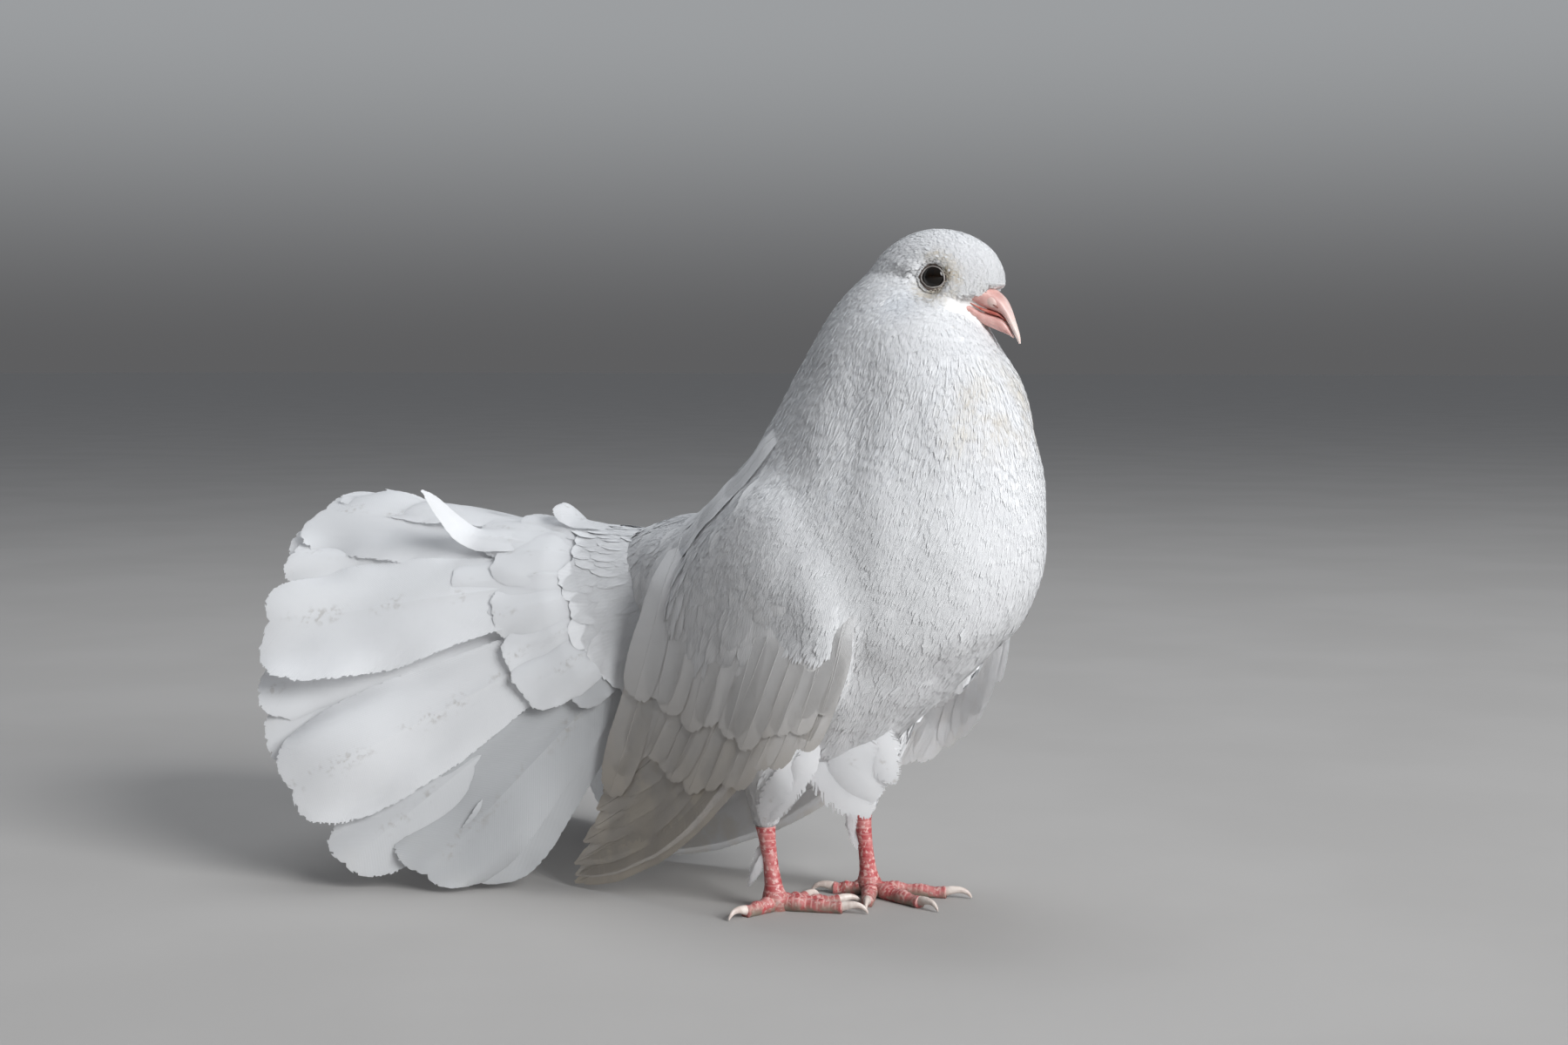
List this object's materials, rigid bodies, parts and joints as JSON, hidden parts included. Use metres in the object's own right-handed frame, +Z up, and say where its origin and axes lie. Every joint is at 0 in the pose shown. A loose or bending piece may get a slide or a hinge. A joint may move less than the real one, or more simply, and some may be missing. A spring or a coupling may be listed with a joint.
{
  "type": "fantail pigeon",
  "caption": "White fantail pigeon, life size and standing still on its feet, with a raised fan tail, drooped wings and a short down-curved bill.",
  "frame": {"origin": "middle of the bird's box, on the floor under its feet", "axes": "+X towards the breast and bill, +Y the bird's left, +Z up"},
  "size_m": [0.298, 0.1666, 0.2424],
  "materials": {
    "plumage": "soft white feathers with cool grey shading",
    "bill": "satin pink horn with a pale hooked tip",
    "eye": "wet, glossy, dark brown",
    "leg_skin": "scaly red skin with grey-brown dirt",
    "horn": "pale semi-gloss horn"
  },
  "bodies": {
    "root": {"head": "plumage", "neck": "plumage", "torso": "plumage", "bill_upper": "bill", "bill_lower": "bill", "eye_left": "eye", "eye_right": "eye", "wing_left": "plumage", "wing_right": "plumage", "thigh_left": "plumage", "thigh_right": "plumage", "foot_left": "leg_skin", "foot_right": "leg_skin", "claw_left_hind": "horn", "claw_left_inner": "horn", "claw_left_middle": "horn", "claw_left_outer": "horn", "claw_right_hind": "horn", "claw_right_inner": "horn", "claw_right_middle": "horn", "claw_right_outer": "horn", "tail_middle": "plumage", "tail_upper_left": "plumage", "tail_upper_right": "plumage", "tail_lower_left": "plumage", "tail_lower_right": "plumage"}
  },
  "joints": []
}
